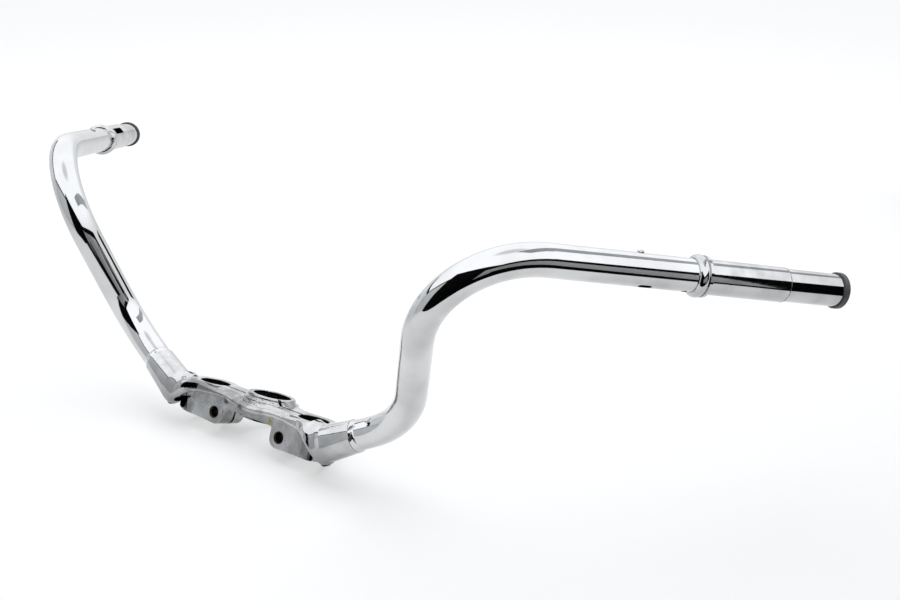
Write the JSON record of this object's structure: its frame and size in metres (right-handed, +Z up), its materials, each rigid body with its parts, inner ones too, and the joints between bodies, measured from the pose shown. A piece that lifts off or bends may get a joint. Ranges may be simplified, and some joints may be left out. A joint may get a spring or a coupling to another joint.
{
  "type": "motorcycle handlebar with fork clamp",
  "caption": "One-piece chromed motorcycle handlebar: two bent tubes brazed into a forged top clamp with a stem bore and two slotted fork bores, collared grip sleeves and end plugs",
  "frame": {"origin": "centre of the stem bore, at the forged clamp's top face beneath its raised ring", "axes": "+X towards the rider's left grip, +Y back towards the rider, +Z up, as the bar is ridden: the stem bore leans 24 degrees back from +Z"},
  "size_m": [0.863, 0.2591, 0.2342],
  "materials": {
    "clamp": "chrome plated forging, mottled as cast",
    "tube": "polished chrome plate",
    "sleeve": "polished chrome plate",
    "screw": "plated screw head",
    "plug": "dark grey moulded end plug"
  },
  "bodies": {
    "root": {"centre_clamp": "clamp", "left_tube": "tube", "left_grip_sleeve": "sleeve", "left_guide_screw": "screw", "left_end_plug": "plug", "right_tube": "tube", "right_grip_sleeve": "sleeve", "right_guide_screw": "screw", "right_end_plug": "plug"}
  },
  "joints": []
}
